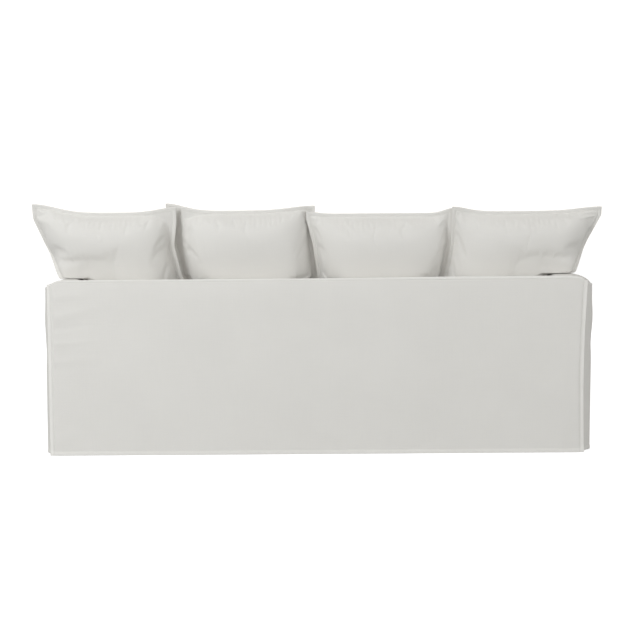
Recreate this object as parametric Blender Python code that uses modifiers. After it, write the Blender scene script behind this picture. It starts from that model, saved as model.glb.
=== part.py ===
"""Sofa slipcover: a loose, floor-length cover with flanged seams, and the four filled cushions of its set.

The cover hangs in the shape of the sofa that carries it, and is hollow. X runs along the sofa, Y from its back
to its front, and Z up from the floor. All sizes are in metres.
"""

import math

import bpy
from mathutils import Vector

# The sofa's sizes, as the cover takes them up
SEAM = {-1: 1.040, 1: 1.056}  # corner seams of the back from its middle, left (-1) and right (1), at the top
SEAM_DRAW = {-1: 0.000, 1: 0.008}  # how far each is drawn in at half its height
SEAM_TAPER = {-1: 0.003, 1: 0.014}  # and at the floor
DEPTH = 0.950  # back panel to arm fronts
HEIGHT = 0.685  # top of the back and arms, under the flange
INNER_ARM = 0.940  # inside face of the arms from the middle
ARM_FULL = {-1: 1.076, 1: 1.102}  # how far the arm's loose outer cloth stands out from the middle
ARM_TAPER = {-1: 0.000, 1: 0.010}  # and how much less at the floor
ARM_CROWN = {-1: 0.007, 1: 0.012}  # how far the middle of an arm stands above its edges
FULL_WITHIN = 0.100  # the cloth is full this far from a corner seam, along Y
FRONT_FULLNESS = 0.65  # the share of it that is left at the front seam
STRAIGHT = 0.008  # the cloth leaves a corner seam square for this far
REAR_DROP, FULL_DROP = 0.016, 0.036  # how far the arm's rounded outer edge falls, at the rear seam and past it
REAR_ROUND, FULL_ROUND = 0.045, 0.080  # over this width
ROUND_SHOULDER = {-1: 0, 1: 1}  # 0 where the cloth falls slackly over that edge and 1 where padding rounds it
INNER_ROUNDING = 0.014  # radius of the arm's inner top edge
BACK_THICKNESS = 0.130  # at the top
BACK_SLOPE = math.radians(20)  # of the inside back
BACK_ROUNDING = 0.035  # radius at the front of the back's top
SEAT_HEIGHT = 0.430
SEAT_CROWN = 0.014

# The cloth
CLOTH = 0.0022  # thickness of the canvas
CLEAR = 0.0004  # between two pieces that are sewn together
FLANGE = 0.012  # turned-out seam edge at the sides
TOP_FLANGE = 0.007  # the same along the top of the back, where it lies lower
TUCK = 0.024  # cloth pushed down behind the seat's edges

# The cushions, which lean on the inside back
CUSHION_CROWN = 0.092  # half of the thickness at the middle
CUSHION_FLANGE = 0.015
FLANGE_HALF = 0.0016  # half of the thickness of a cushion's flange
CUSHION_STAND = 0.0006  # clear of the seat and of the inside back
PUSHED_WITHIN = 0.055  # how far in from a side edge its neighbour pushes a cushion

COLLECTION = "sofa_slipcover"
CANVAS = (0.66, 0.65, 0.62)
REAR = -DEPTH / 2
FRONT = DEPTH / 2
SEWN = CLOTH / 2 + CLEAR  # from a panel's middle to the edge of the one that is sewn to it

# Heights at which the cushions' side edges are given. A side edge that an arm pushes up lies higher than that:
# it goes up the arm's inside face, out over the top of the arm, and up again.
BESIDE_CUSHION = (0.580, 0.640, 0.700, 0.830, 0.935)
BESIDE_ARM = (0.640, 0.680, 0.715, 0.830, 0.935)
OVER_ARM = {
    side: (0.640, HEIGHT + crown + above, HEIGHT + crown + above + 0.0014, 0.830, 0.935)
    for side, crown, above in ((-1, ARM_CROWN[-1], 0.0012), (1, ARM_CROWN[1], 0.0020))
}

# One row for each cushion, from left to right as seen from behind. left and right are the places of its side
# edges at the heights above, from the foot up to the top corner. middle is the height of its top edge, rise how
# far each corner stands above that as an ear, and ear over what length it falls back. set_back is how far each
# corner leans away to the front, and behind how far a neighbour pushes that side the same way. empty is the share
# of each half that has no filling next to the side seam, lap how far a seam that lies over an arm reaches back,
# and how far it droops there, and corner how much of the filling each upper corner has.
CUSHIONS = (
    dict(name="back_cushion_1", by=("arm", "cushion"), middle=0.956,
         left=(-0.922, -0.932, -1.026, -1.086, -1.127), right=(-0.495, -0.510, -0.541, -0.566, -0.552),
         rise=(0.037, 0.020), ear=(0.130, 0.100), set_back=(0.0, 0.0), behind=(0.0, 0.0),
         empty=(0.0, 0.04), lap=(0.075, 0.005), corner=(1, 0.6)),
    dict(name="back_cushion_2", by=("cushion", "cushion"), middle=0.960,
         left=(-0.482, -0.505, -0.552, -0.578, -0.600), right=(-0.010, -0.004, 0.016, 0.004, 0.001),
         rise=(0.032, 0.018), ear=(0.105, 0.130), set_back=(0.010, 0.012), behind=(0.055, 0.018),
         empty=(0.11, 0.05), lap=(0.0, 0.0), corner=(0, 1)),
    dict(name="back_cushion_3", by=("cushion", "cushion"), middle=0.945,
         left=(0.002, 0.004, 0.008, -0.010, -0.034), right=(0.464, 0.484, 0.524, 0.546, 0.548),
         rise=(0.009, 0.018), ear=(0.060, 0.045), set_back=(0.0, 0.0), behind=(0.0, -0.010),
         empty=(0.0, 0.03), lap=(0.0, 0.0), corner=(1, 1)),
    dict(name="back_cushion_4", by=("cushion", "arm"), middle=0.949,
         left=(0.476, 0.492, 0.521, 0.545, 0.546), right=(0.922, 0.932, 1.044, 1.092, 1.143),
         rise=(0.020, 0.016), ear=(0.085, 0.125), set_back=(0.0, 0.0), behind=(-0.020, 0.0),
         empty=(0.0, 0.0), lap=(0.060, 0.000), corner=(1, 1)),
)


def smooth(t):
    """Eases from 0 to 1 as t goes from 0 to 1."""
    t = min(max(t, 0.0), 1.0)
    return t * t * (3 - 2 * t)


def mix(a, b, t):
    return a + (b - a) * t


def spread(first, last, count):
    """Count + 1 evenly spaced stations."""
    return [mix(first, last, i / count) for i in range(count + 1)]


def canvas(name, shade):
    """Washed off-white cotton and linen canvas."""
    material = bpy.data.materials.new(name)
    material.use_nodes = True
    shader = material.node_tree.nodes["Principled BSDF"]
    shader.inputs["Base Color"].default_value = (shade[0], shade[1], shade[2], 1.0)
    shader.inputs["Roughness"].default_value = 0.9
    shader.inputs["Metallic"].default_value = 0.0
    return material


def grid(name, columns, rows, place):
    """A grid whose point in a column and a row is put where place(column, row) says."""
    across = len(columns) - 1
    along = len(rows) - 1
    bpy.ops.mesh.primitive_grid_add(x_subdivisions=across, y_subdivisions=along, size=2)
    piece = bpy.context.object
    piece.name = name
    piece.data.name = name
    for vertex in piece.data.vertices:
        column = columns[round((vertex.co.x + 1) / 2 * across)]
        row = rows[round((vertex.co.y + 1) / 2 * along)]
        vertex.co = place(column, row)
    return piece


def collect(piece, collection):
    """Smooth shading, its own material, and the object's collection."""
    piece.data.shade_smooth()
    piece.data.materials.append(canvas(piece.name + "_canvas", CANVAS))
    for old in list(piece.users_collection):
        old.objects.unlink(piece)
    collection.objects.link(piece)


def panel(name, columns, rows, place, collection):
    """A cut panel of cloth: a placed grid with the cloth's thickness on both sides of it."""
    piece = grid(name, columns, rows, place)
    thickness = piece.modifiers.new("cloth", "SOLIDIFY")
    thickness.thickness = CLOTH
    thickness.offset = 0.0
    thickness.use_even_offset = True
    collect(piece, collection)
    return piece


# Outline of the sofa --------------------------------------------------------------------------------------


def corner_seam(side, z):
    """How far from the middle the rear corner seam of one side runs, at a height."""
    up = min(z / HEIGHT, 1)
    return SEAM[side] - SEAM_TAPER[side] * (1 - up) - SEAM_DRAW[side] * math.sin(math.pi * up)


def fullness(y):
    """0 at the rear corner seam and 1 where the arm's cloth stands out fully."""
    rear = smooth((y - REAR - STRAIGHT) / FULL_WITHIN)
    front = smooth((FRONT - STRAIGHT - y) / FULL_WITHIN)
    return rear * mix(FRONT_FULLNESS, 1, front)


def arm_outside(side, y, z):
    """How far from the middle the outside of an arm is."""
    full = ARM_FULL[side] - ARM_TAPER[side] * (1 - min(z / HEIGHT, 1))
    return mix(corner_seam(side, z), full, fullness(y))


def arm_seam(y):
    """Height of the seam along the arm's outer top edge."""
    return HEIGHT - mix(REAR_DROP, FULL_DROP, fullness(y))


def falling(side, t):
    """How the top falls to the outer seam, 1 at the seam and 0 where it is level: slack or round."""
    left = 1 - min(max(t, 0), 1)
    return mix(left ** 2, 1 - math.sqrt(1 - left ** 2), ROUND_SHOULDER[side])


def shoulder(side, y, from_seam):
    """How far the top has dropped, this far in from the arm's outer seam."""
    width = mix(REAR_ROUND, FULL_ROUND, fullness(y))
    return (HEIGHT - arm_seam(y)) * falling(side, from_seam / width)


def inside_back(z):
    """The place along Y of the sloped inside back, at a height."""
    return REAR + BACK_THICKNESS + (HEIGHT - z) * math.tan(BACK_SLOPE)


def seat(x, y):
    """Height of the seat's crowned top."""
    back = inside_back(SEAT_HEIGHT)
    along = (y - back) / (FRONT - back)
    return SEAT_HEIGHT + SEAT_CROWN * (1 - (x / INNER_ARM) ** 2) * (1 - (2 * along - 1) ** 4)


# Panels ---------------------------------------------------------------------------------------------------


def outside_back(collection):
    """The wide panel that faces back, with its flange round the sides and top."""

    def relief(x, z):
        """Slack in the cloth: broad, shallow waves that die out at the seams."""
        inside = smooth((SEAM[-1] - abs(x)) / 0.08) * smooth((HEIGHT - z) / 0.08)
        waves = 0.0022 * math.sin(3.1 * x + 1.3) * math.sin(6.5 * z + 0.4)
        hem = 0.0026 * math.exp(-z / 0.07) * math.sin(11.0 * x + 0.6)
        return inside * (waves + hem - 0.0015)

    def place(u, v):
        height = min(v, 1)
        side = -1 if u < 0 else 1
        seam = corner_seam(side, height * HEIGHT)
        reach = min(abs(u), 1) * seam
        x = math.copysign(reach + (FLANGE if abs(u) > 1 else 0), u)
        drop = shoulder(side, REAR, seam - reach)
        z = height * (HEIGHT - drop) + (TOP_FLANGE if v > 1 else 0)
        return Vector((x, REAR + relief(x, z), z))

    middle = spread(-0.90, 0.90, 20)
    columns = [-1.1, -1, -0.985, -0.965, -0.94] + middle + [0.94, 0.965, 0.985, 1, 1.1]
    rows = [0, 0.03] + spread(0.1, 0.9, 9) + [0.96, 1, 1.1]
    panel("outside_back", columns, rows, place, collection)


ALONG_ARM = (
    [REAR + SEWN, REAR + STRAIGHT]
    + [REAR + STRAIGHT + FULL_WITHIN * t for t in (0.2, 0.4, 0.6, 0.8, 1)]
    + spread(REAR + 0.18, FRONT - 0.18, 6)
    + [FRONT - STRAIGHT - FULL_WITHIN * t for t in (1, 0.75, 0.5, 0.25)]
    + [FRONT - STRAIGHT, FRONT - SEWN]
)


def arm_slack(y, z):
    """Uneven slack in the outside arm's cloth."""
    inside = smooth((y - REAR) / 0.2) * smooth((FRONT - y) / 0.2) * smooth((HEIGHT - z) / 0.2)
    return inside * 0.004 * math.sin(7.0 * y + 1.0) * math.sin(5.0 * z + 1.0)


def outside_arm(name, side, collection):
    """The outside of an arm, down to the floor. Its top edge stands up as a flange."""
    def place(y, v):
        z = min(v, 1) * arm_seam(y) + (FLANGE * 0.8 if v > 1 else 0)
        return Vector((side * (arm_outside(side, y, z) + arm_slack(y, z)), y, z))

    rows = [0, 0.04] + spread(0.12, 0.9, 7) + [1, 1.1]
    panel(name, ALONG_ARM, rows, place, collection)


def arm_top(name, side, collection):
    """The arm's top and inside in one piece, from the outer seam over the top and down behind the seat."""

    def section(y):
        """Points across the arm at a depth, from the outer seam inwards, each with its height."""
        outer = arm_outside(side, y, arm_seam(y)) - CLOTH - 2 * CLEAR
        width = mix(REAR_ROUND, FULL_ROUND, fullness(y))
        crown = ARM_CROWN[side] * smooth((y - REAR) / 0.16) * smooth((FRONT - y) / 0.2)
        points = []
        for t in (0, 0.04, 0.15, 0.35, 0.6, 1):
            rise = crown * (1 - falling(side, t))
            points.append((outer - width * t, HEIGHT - shoulder(side, y, width * t) + rise))
        centre = INNER_ARM + INNER_ROUNDING
        points.append((mix(points[-1][0], centre, 0.5), HEIGHT + crown))
        for degrees in (90, 120, 150, 180):
            turn = math.radians(degrees)
            points.append((centre + INNER_ROUNDING * math.cos(turn),
                           HEIGHT - INNER_ROUNDING * (1 - math.sin(turn)) + crown * math.sin(turn)))
        bottom = SEAT_HEIGHT - TUCK
        points += [(INNER_ARM, mix(HEIGHT - INNER_ROUNDING, bottom, t)) for t in (0.12, 0.4, 0.7, 0.9, 1)]
        return points

    inside_from = 10  # the first point that is on the inside face

    def place(y, k):
        x, z = section(y)[k]
        if k >= inside_from:
            start = inside_back(min(z, HEIGHT - BACK_ROUNDING)) - 0.010
            along = (y - ALONG_ARM[0]) / (ALONG_ARM[-1] - ALONG_ARM[0])
            y = mix(start, ALONG_ARM[-1], along)
        return Vector((side * x, y, z))

    rows = list(range(len(section(0))))
    panel(name, ALONG_ARM, rows, place, collection)


def arm_front(name, side, collection):
    """The narrow panel on the front of an arm, down to the floor, flanged on both sides and over the top."""

    def place(u, v):
        height = min(v, 1)
        outer = arm_outside(side, FRONT, height * HEIGHT)
        x = mix(INNER_ARM, outer, min(max(u, 0), 1))
        drop = shoulder(side, FRONT, outer - x)
        x += FLANGE if u > 1 else 0
        x -= FLANGE if u < 0 else 0
        z = height * (HEIGHT - drop) + (TOP_FLANGE if v > 1 else 0)
        bow = 0.006 * math.sin(math.pi * min(max(u, 0), 1)) * smooth((HEIGHT - z) / 0.1)
        return Vector((side * x, FRONT + bow, z))

    columns = [-0.1, 0, 0.12, 0.35, 0.65, 0.88, 1, 1.1]
    rows = [0, 0.04] + spread(0.15, 0.9, 6) + [0.96, 1, 1.1]
    panel(name, columns, rows, place, collection)


def inside_back_panel(collection):
    """The top of the back and its sloped inside in one piece, tucked down behind the seat."""

    def section():
        """Points from the rear seam over the top and down the inside, as places along Y and heights."""
        start = REAR + SEWN
        centre_y = REAR + BACK_THICKNESS - BACK_ROUNDING * (1 - math.sin(BACK_SLOPE)) / math.cos(BACK_SLOPE)
        centre_z = HEIGHT - BACK_ROUNDING
        points = [(mix(start, centre_y, t), HEIGHT) for t in (0, 0.2, 0.6)]
        for turn in spread(math.pi / 2, BACK_SLOPE, 4):
            points.append((centre_y + BACK_ROUNDING * math.cos(turn), centre_z + BACK_ROUNDING * math.sin(turn)))
        top_z = points[-1][1]
        for t in (0.25, 0.5, 0.75, 1):
            z = mix(top_z, SEAT_HEIGHT - TUCK, t)
            points.append((inside_back(z), z))
        return points

    half = INNER_ARM - SEWN

    def place(u, k):
        y, z = section()[k]
        on_top = smooth((z - HEIGHT + BACK_ROUNDING) / BACK_ROUNDING)
        valley = INNER_ROUNDING * 0.6 * (1 - smooth((1 - abs(u)) * half / 0.035))
        return Vector((u * half, y, z - valley * on_top))

    middle = spread(-0.9, 0.9, 12)
    columns = [-1, -0.99, -0.975, -0.95] + middle + [0.95, 0.975, 0.99, 1]
    panel("inside_back", columns, list(range(len(section()))), place, collection)


def apron_face(x, z):
    """The place along Y of the front apron, just behind the arm fronts' flanges."""
    wave = 0.003 * math.sin(9.0 * x) * smooth(1 - z / SEAT_HEIGHT) * smooth((INNER_ARM - abs(x)) / 0.1)
    return FRONT - CLOTH - CLEAR - 0.004 * smooth((INNER_ARM - abs(x)) / 0.1) + wave


def seat_deck(collection):
    """The seat's top, between the arms, the inside back and the front apron."""
    half = INNER_ARM - SEWN
    back = inside_back(SEAT_HEIGHT) + SEWN / math.cos(BACK_SLOPE) + CLOTH / 2 * math.tan(BACK_SLOPE)

    def place(u, t):
        x = u * half
        front = apron_face(x, SEAT_HEIGHT) - SEWN - CLEAR / 4
        y = mix(back, front, t)
        return Vector((x, y, seat(x, y)))

    columns = [-1, -0.97] + spread(-0.9, 0.9, 12) + [0.97, 1]
    rows = [0, 0.05, 0.15, 0.3, 0.5, 0.7, 0.85, 0.95, 1]
    panel("seat_deck", columns, rows, place, collection)


def front_apron(collection):
    """The panel from the seat's front edge down to the floor. Its top edge stands up as a flange."""
    half = INNER_ARM - FLANGE / 3

    def place(u, v):
        x = u * half
        z = min(v, 1) * SEAT_HEIGHT + (TOP_FLANGE if v > 1 else 0)
        return Vector((x, apron_face(x, z), z))

    columns = [-1, -0.97] + spread(-0.9, 0.9, 12) + [0.97, 1]
    rows = [0, 0.06] + spread(0.2, 0.85, 4) + [1, 1.1]
    panel("front_apron", columns, rows, place, collection)


# Cushions -------------------------------------------------------------------------------------------------


def cushion(row, collection):
    """A filled cushion in a flanged cover, standing on the seat and leaning on the inside back."""
    lean = math.tan(BACK_SLOPE)
    normal = Vector((0, -math.cos(BACK_SLOPE), -math.sin(BACK_SLOPE)))
    off_back = (CUSHION_CROWN + CLOTH / 2 + CUSHION_STAND) / math.cos(BACK_SLOPE)
    foot_y = inside_back(SEAT_HEIGHT) + off_back
    foot = seat((row["left"][0] + row["right"][0]) / 2, foot_y)
    top = row["middle"] + max(row["rise"])
    over_arm = OVER_ARM[1 if row["by"][1] == "arm" else -1]

    def edge(side, level):
        """A side edge at a level: its place along X, its height, and its place if there were no arm below it."""
        by_arm = row["by"][side] == "arm"
        levels = BESIDE_ARM if by_arm else BESIDE_CUSHION
        heights = over_arm if by_arm else levels
        places = row[("left", "right")[side]]
        at, height = places[-1], level
        for k in range(1, len(levels)):
            if level < levels[k]:
                t = (level - levels[k - 1]) / (levels[k] - levels[k - 1])
                at = mix(places[k - 1], places[k], max(t, 0))
                height = mix(heights[k - 1], heights[k], t) if t >= 0 else level
                break
        if not by_arm or level > levels[3]:
            return at, height, at
        return at, height, mix(places[0], places[3], smooth((level - 0.56) / (levels[3] - 0.56)))

    body_from = foot + CUSHION_FLANGE
    body_to = top - CUSHION_FLANGE
    levels = (
        [foot]
        + [mix(body_from, BESIDE_ARM[0], t) for t in (0, 0.06, 0.25, 0.5, 0.75, 1)]
        + [BESIDE_ARM[1], mix(BESIDE_ARM[1], BESIDE_ARM[2], 0.5)]
        + [mix(BESIDE_ARM[2], body_to, t) for t in (0, 0.2, 0.42, 0.62, 0.78, 0.9, 0.97, 1)]
        + [top]
    )

    def place(u, level, face):
        (left, left_z, calm_left), (right, right_z, calm_right) = edge(0, level), edge(1, level)
        half = (calm_right - calm_left) / 2 - CUSHION_FLANGE
        spill, raised = (left - calm_left, left_z) if u < 0 else (right - calm_right, right_z)
        near_side = smooth((abs(u) - 0.5) / 0.5)
        x = (calm_left + calm_right) / 2 + min(max(u, -1), 1) * half + spill * near_side
        if abs(u) > 1:
            x += math.copysign(CUSHION_FLANGE, u)
        # The corners stand up as ears above the middle of the top edge, and may lean away from the back
        near = [math.exp(-((d / ear) ** 2)) for d, ear in zip((x - left, right - x), row["ear"])]
        high = smooth((level - HEIGHT) / (top - HEIGHT))
        sag = max(row["rise"]) - max(row["rise"][0] * near[0], row["rise"][1] * near[1])
        beside = smooth((level - foot) / 0.15)
        set_back = sum(near[k] * row["set_back"][k] * high for k in (0, 1))
        close = [math.exp(-((d / PUSHED_WITHIN) ** 2)) for d in (x - left, right - x)]
        set_back += sum(close[k] * row["behind"][k] * beside for k in (0, 1))
        low = 1 - smooth((level - foot) / 0.10)
        lift = seat(x, foot_y) - foot + CLOTH / 2 + CUSHION_STAND + FLANGE_HALF * math.sin(BACK_SLOPE)
        z = mix(level, raised, smooth((abs(u) - 0.3) / 0.4)) - sag * high + low * lift
        y = foot_y - (level - SEAT_HEIGHT) * lean + set_back
        # The filling is full in the middle, drawn in to the flange at the edges, and leaves the corners empty
        along = abs(u) / (1 - row["empty"][0 if u < 0 else 1])
        upright = 2 * (level - body_from) / (body_to - body_from) - 1
        pushed_up = smooth((level - 0.58) / 0.05) * (1 - smooth((level - BESIDE_ARM[2]) / 0.08))
        pushed_up *= row["by"][0 if u < 0 else 1] == "arm"
        across, above = min(along, 1) ** (4.5 + 6 * pushed_up), min(abs(upright), 1) ** 3.5
        corner = row["corner"][0 if u < 0 else 1] if upright > 0 else 1
        filling = max(1 - across - above + corner * across * above, 0) ** 0.5
        filling *= 1 - 0.85 * abs(along * upright) ** 3 if filling else 0
        thick = FLANGE_HALF + (CUSHION_CROWN - FLANGE_HALF) * filling
        # A seam that lies over an arm may reach back along it and droop over its rounded edge
        reach, droop = row["lap"]
        lying = 1 - smooth((level - BESIDE_ARM[2]) / 0.10)
        over_arm_seam = lying * smooth((level - 0.60) / 0.06) * smooth((abs(x) - 0.84) / 0.05)
        y -= reach * over_arm_seam * (1 - filling)
        z -= droop * lying * smooth((abs(x) - 1.0) / 0.04)
        # Where it lies over an arm, the filling is pushed up, level with the arm's top
        over = smooth((abs(x) - INNER_ARM + 0.09) / 0.06) * smooth((level - 0.60) / 0.08)
        over *= 1 - smooth((level - BESIDE_ARM[2]) / 0.12)
        return Vector((x, y, z)) + normal.lerp(Vector((0, -1, 0)), over).normalized() * thick * face

    inner = [0.2, 0.4, 0.6, 0.76, 0.88, 0.96, 1, 1.1]
    columns = [-u for u in reversed(inner)] + [0] + inner
    piece = grid(row["name"], columns, levels, lambda u, level: Vector((columns.index(u), levels.index(level), 0)))
    # Two layers of the grid, joined round the rim, are pushed apart by the filling
    layers = piece.modifiers.new("layers", "SOLIDIFY")
    layers.thickness = 0.5
    layers.offset = 0.0
    bpy.context.view_layer.objects.active = piece
    bpy.ops.object.modifier_apply(modifier=layers.name)
    for vertex in piece.data.vertices:
        column = columns[round(vertex.co.x)]
        level = levels[round(vertex.co.y)]
        vertex.co = place(column, level, 1 if vertex.co.z > 0 else -1)
    collect(piece, collection)


def main():
    for old in list(bpy.data.objects):
        bpy.data.objects.remove(old, do_unlink=True)
    collection = bpy.data.collections.new(COLLECTION)
    bpy.context.scene.collection.children.link(collection)
    outside_back(collection)
    for name, side in (("left", -1), ("right", 1)):
        outside_arm("outside_arm_" + name, side, collection)
        arm_top("arm_top_" + name, side, collection)
        arm_front("arm_front_" + name, side, collection)
    inside_back_panel(collection)
    seat_deck(collection)
    front_apron(collection)
    for row in CUSHIONS:
        cushion(row, collection)


main()
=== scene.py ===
"""A loose canvas slipcover for a sofa, and the four cushions of its set. X runs along the sofa, Y from its back to
its front, and Z up from the floor. All sizes are in metres."""

import math

import bpy
import numpy as np
from mathutils import Matrix, Vector


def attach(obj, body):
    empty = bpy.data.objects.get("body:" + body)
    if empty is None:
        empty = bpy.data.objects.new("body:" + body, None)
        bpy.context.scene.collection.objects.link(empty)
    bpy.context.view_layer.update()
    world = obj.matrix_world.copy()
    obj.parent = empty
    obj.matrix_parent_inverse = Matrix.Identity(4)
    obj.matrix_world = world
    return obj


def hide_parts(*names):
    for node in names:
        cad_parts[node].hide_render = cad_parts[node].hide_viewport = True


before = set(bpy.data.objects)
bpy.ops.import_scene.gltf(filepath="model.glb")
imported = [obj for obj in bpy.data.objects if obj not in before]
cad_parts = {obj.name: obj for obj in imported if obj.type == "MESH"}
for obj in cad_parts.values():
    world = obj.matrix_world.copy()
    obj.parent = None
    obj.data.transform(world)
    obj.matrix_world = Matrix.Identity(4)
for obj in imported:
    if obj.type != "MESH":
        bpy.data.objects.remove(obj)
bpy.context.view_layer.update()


# Canvas -----------------------------------------------------------------------------------------------------
# The whole set is cut from one heavy cotton and linen canvas, a plain weave in undyed off-white that has been
# washed soft. It is quite matt, and thicker linen threads (slubs) run through it both ways. Its turned-out flanges
# and hems are painted a little lighter, a painted highlight for the light that their edges catch.

THREAD = 0.0012  # spacing of the yarns, about twice that of the real canvas, which is too fine to show
SLUB = 0.0030  # width of a thick yarn, also drawn coarse enough to show


def linear(hex_colour):
    """An sRGB hex colour as a linear one with alpha."""
    parts = [int(hex_colour[k:k + 2], 16) / 255 for k in (1, 3, 5)]
    return [c / 12.92 if c <= 0.04045 else ((c + 0.055) / 1.055) ** 2.4 for c in parts] + [1.0]


def add(tree, kind, values=None, links=None, **settings):
    """Adds a node with its settings, its socket values and what is linked into its sockets."""
    made = tree.nodes.new(kind)
    for name, value in settings.items():
        setattr(made, name, value)
    for socket, value in (values or {}).items():
        made.inputs[socket].default_value = value
    for socket, source in (links or {}).items():
        tree.links.new(source, made.inputs[socket])
    return made


def woven_canvas(name, cloth_hex, highlight_hex):
    """Washed plain-weave canvas. Its UV map is the flat cloth in metres, and an attribute marks the flanges and
    hems that are painted lighter there, a painted highlight.
    """
    material = bpy.data.materials.new(name)
    material.use_nodes = True
    tree = material.node_tree
    surface = tree.nodes["Principled BSDF"]
    surface.inputs["Roughness"].default_value = 0.92
    surface.inputs["IOR"].default_value = 1.45
    surface.inputs["Specular IOR Level"].default_value = 0.25
    surface.inputs["Sheen Weight"].default_value = 0.12
    surface.inputs["Sheen Roughness"].default_value = 0.45
    cloth = add(tree, "ShaderNodeUVMap", uv_map="cloth").outputs["UV"]
    along = add(tree, "ShaderNodeSeparateXYZ", links={0: cloth})
    # Plain weave: warp and weft cross over and under each other
    yarns = []
    for direction in ("X", "Y"):
        way = along.outputs[direction]
        turn = add(tree, "ShaderNodeMath", {1: math.pi / THREAD}, {0: way}, operation="MULTIPLY")
        yarns.append(add(tree, "ShaderNodeMath", links={0: turn.outputs[0]}, operation="SINE").outputs[0])
    weave = add(tree, "ShaderNodeMath", links={0: yarns[0], 1: yarns[1]}, operation="MULTIPLY").outputs[0]
    # Slubs: long thin streaks, along the warp and along the weft
    slubs = []
    for stretch in ((1 / SLUB, 9, 1), (9, 1 / SLUB, 1)):
        run = add(tree, "ShaderNodeMapping", {"Scale": stretch}, {0: cloth}).outputs[0]
        slubs.append(add(tree, "ShaderNodeTexNoise", {"Scale": 1.0, "Detail": 2.0}, {"Vector": run}).outputs["Fac"])
    slub = add(tree, "ShaderNodeMath", links={0: slubs[0], 1: slubs[1]}, operation="ADD").outputs[0]
    # Colour: slubs are a little darker flax, washing leaves soft clouds, and flanges and hems are painted lighter,
    # a painted highlight
    cloud = add(tree, "ShaderNodeTexNoise", {"Scale": 3.5, "Detail": 3.0}, {"Vector": cloth}).outputs["Fac"]
    tint = add(tree, "ShaderNodeMath", {1: 0.45}, {0: slub, 2: cloud}, operation="MULTIPLY_ADD").outputs[0]
    shade = add(tree, "ShaderNodeMapRange", {1: 0.45, 2: 1.35, 3: 1.02, 4: 0.965}, {0: tint}).outputs[0]
    painted_highlight = add(tree, "ShaderNodeAttribute", attribute_name="painted_highlight").outputs["Fac"]
    # Painted highlight: the cloth colour is mixed towards a lighter one on the marked flanges and hems
    body = add(tree, "ShaderNodeMix", {6: linear(cloth_hex), 7: linear(highlight_hex)}, {0: painted_highlight}, data_type="RGBA")
    colour = add(tree, "ShaderNodeVectorMath", links={0: body.outputs[2], 3: shade}, operation="SCALE").outputs[0]
    height = add(tree, "ShaderNodeMath", {1: 0.35}, {0: weave, 2: slub}, operation="MULTIPLY_ADD").outputs[0]
    bump = add(tree, "ShaderNodeBump", {"Strength": 0.55, "Distance": 0.0006}, {"Height": height}).outputs[0]
    tree.links.new(colour, surface.inputs["Base Color"])
    tree.links.new(bump, surface.inputs["Normal"])
    return material


canvas = woven_canvas("washed_cotton_linen_canvas", "#E1DFDB", "#EAE8E4")
cushion_canvas = woven_canvas("washed_canvas_on_cushions", "#E2E0DC", "#EAE8E4")


# Outside back -----------------------------------------------------------------------------------------------
# One wide panel of canvas from the floor to the top of the sofa's back. Its side and top edges are sewn to the
# arms and the inside back with the seam allowance turned out as a flange. The bottom is a turned-up hem. It
# hangs almost flat, with small drag lines at the corner seams.

DEPTH = 0.950
HEIGHT = 0.685
REAR, FRONT = -DEPTH / 2, DEPTH / 2
SIDE = {-1: "left", 1: "right"}  # as seen from behind
SEAM = {-1: 1.040, 1: 1.056}  # corner seams from the middle, left and right, at the top
SEAM_DRAW = {-1: 0.000, 1: 0.008}  # how far their middles are drawn in
SEAM_TAPER = {-1: 0.003, 1: 0.014}  # how much nearer the middle they are at the floor
REAR_DROP, REAR_ROUND = 0.016, 0.045  # how the back's top corners fall away, and over what width
ROUND_SHOULDER = {-1: 0, 1: 1}  # 0 where cloth falls slackly over that edge and 1 where padding rounds it
CLOTH = 0.0018  # thickness of the canvas
SEWN = 0.0015  # from a panel's middle to the edge of the one that is sewn to it
FLANGE = 0.012
TOP_FLANGE = 0.007
HEM = 0.017
HEM_FOLD = 0.0012  # how much thicker the turned-up hem is
HEM_STEP = 0.0025  # over what height its upper edge steps back to the panel
STITCH_IN = 0.0030  # rows of stitching run this far in from a seam or from a hem's upper edge
HEM_GROOVE, TOP_GROOVE, SIDE_GROOVE = 0.0008, 0.0009, 0.0011  # how deep stitching draws the cloth in
cover_stitching = []  # the rows, noted as the panels are made

# Drag lines and dents: from a start to an end on the panel, how wide, and how far they stand out
BACK_FOLDS = (
    dict(start=(-1.03, 0.625), end=(-0.86, 0.640), width=0.014, height=0.0018),
    dict(start=(-1.03, 0.545), end=(-0.80, 0.590), width=0.018, height=0.0022),
    dict(start=(-1.03, 0.500), end=(-0.84, 0.520), width=0.010, height=-0.0015),
    dict(start=(-1.03, 0.440), end=(-0.84, 0.455), width=0.012, height=0.0016),
    dict(start=(-1.03, 0.370), end=(-0.82, 0.385), width=0.016, height=0.0018),
    dict(start=(-1.02, 0.060), end=(-0.90, 0.110), width=0.022, height=0.0016),
    dict(start=(-0.10, 0.460), end=(0.12, 0.500), width=0.030, height=0.0009),
    dict(start=(-0.06, 0.400), end=(0.10, 0.430), width=0.024, height=-0.0007),
    dict(start=(0.82, 0.520), end=(1.04, 0.600), width=0.030, height=0.0010),
    dict(start=(0.88, 0.240), end=(1.03, 0.220), width=0.026, height=0.0008),
    dict(start=(-0.645, 0.000), end=(-0.655, 0.075), width=0.020, height=-0.0022),
    dict(start=(0.075, 0.000), end=(0.060, 0.070), width=0.024, height=-0.0018),
    dict(start=(0.620, 0.000), end=(0.640, 0.060), width=0.026, height=0.0014),
)


def smooth(t):
    """Eases from 0 to 1 as t goes from 0 to 1."""
    t = np.clip(t, 0.0, 1.0)
    return t * t * (3 - 2 * t)


def mix(a, b, t):
    return a + (b - a) * t


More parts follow.
